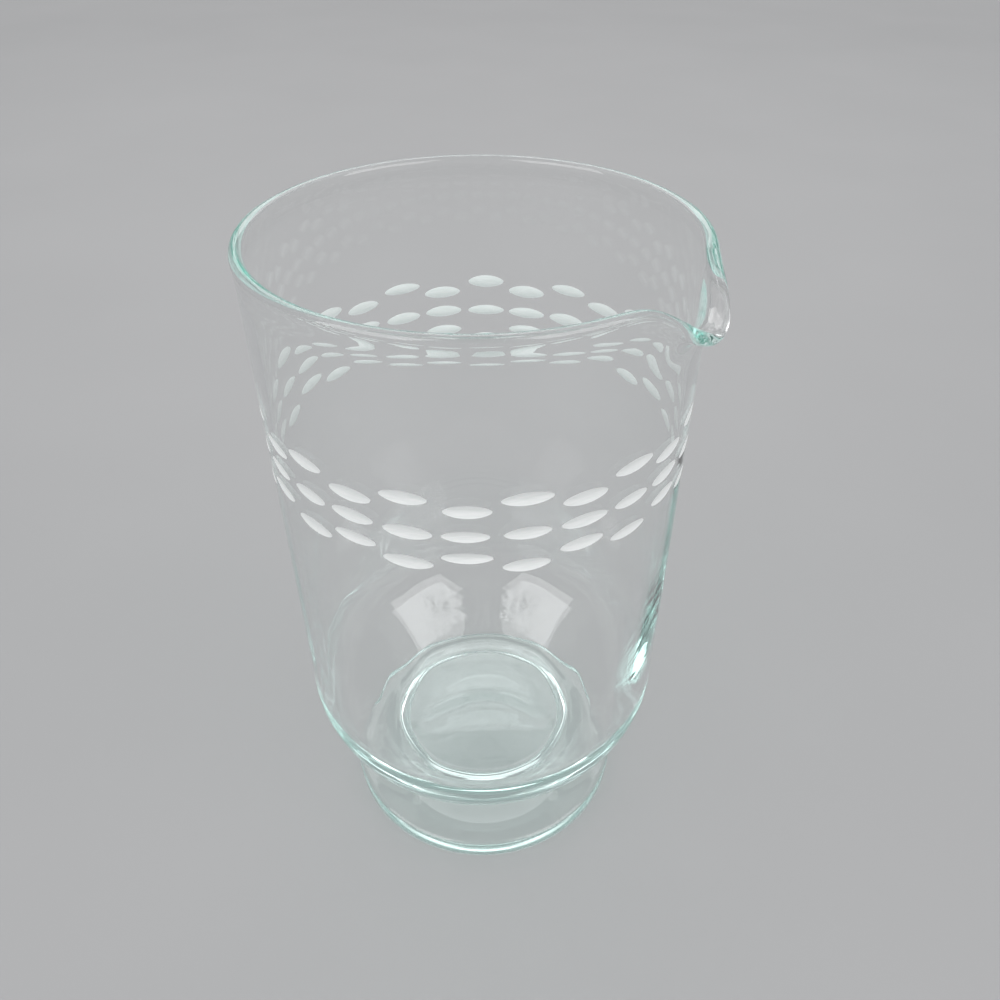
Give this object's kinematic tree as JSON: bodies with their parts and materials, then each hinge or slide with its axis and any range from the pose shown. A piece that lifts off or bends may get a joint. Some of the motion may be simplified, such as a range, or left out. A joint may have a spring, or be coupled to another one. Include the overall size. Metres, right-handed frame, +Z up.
{
  "type": "cocktail pitcher",
  "caption": "Tall clear glass cocktail pitcher with a straight round body, a pinched pouring lip, a band of cut ovals and a low disc foot.",
  "frame": {"origin": "middle of the flat seat under the foot, on the axis of the body", "axes": "+Z up along the axis of the body, +X towards the pouring lip"},
  "size_m": [0.1074, 0.102, 0.18],
  "materials": {
    "glass": "clear soda-lime glass with a faint aqua tint in its thick edges, polished all over except the matt cut ovals"
  },
  "bodies": {
    "root": {"vessel": "glass", "foot": "glass"}
  },
  "joints": []
}
